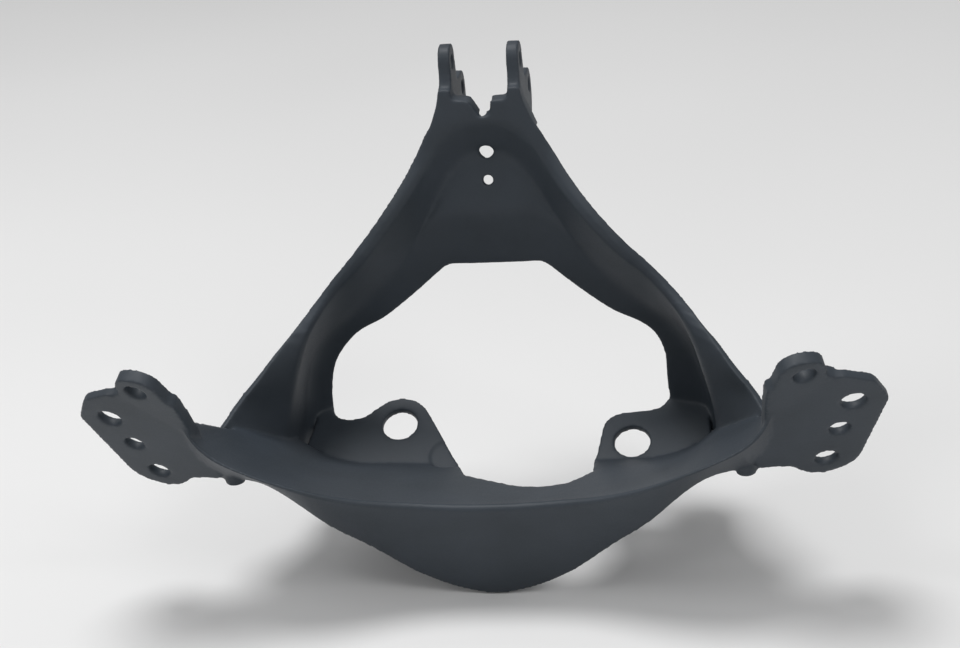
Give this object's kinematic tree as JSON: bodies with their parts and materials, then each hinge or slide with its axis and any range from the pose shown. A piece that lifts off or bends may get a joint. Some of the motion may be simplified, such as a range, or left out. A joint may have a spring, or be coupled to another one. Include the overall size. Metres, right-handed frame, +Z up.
{
  "type": "fairing stay",
  "caption": "Cast triangular motorcycle fairing bracket: forked head end, open dished ring, curved crosspiece with a pointed chin, grommet lugs and drilled mirror wings.",
  "frame": {"origin": "middle of the fork's upper bolt hole", "axes": "+X to the viewer's right seen from the front of the motorcycle, along the fork's bolts; +Y to the rear, away from the viewer; +Z up"},
  "size_m": [0.3902, 0.1818, 0.258],
  "materials": {
    "coating": "satin"
  },
  "bodies": {
    "root": {"fairing_stay": "coating"}
  },
  "joints": []
}
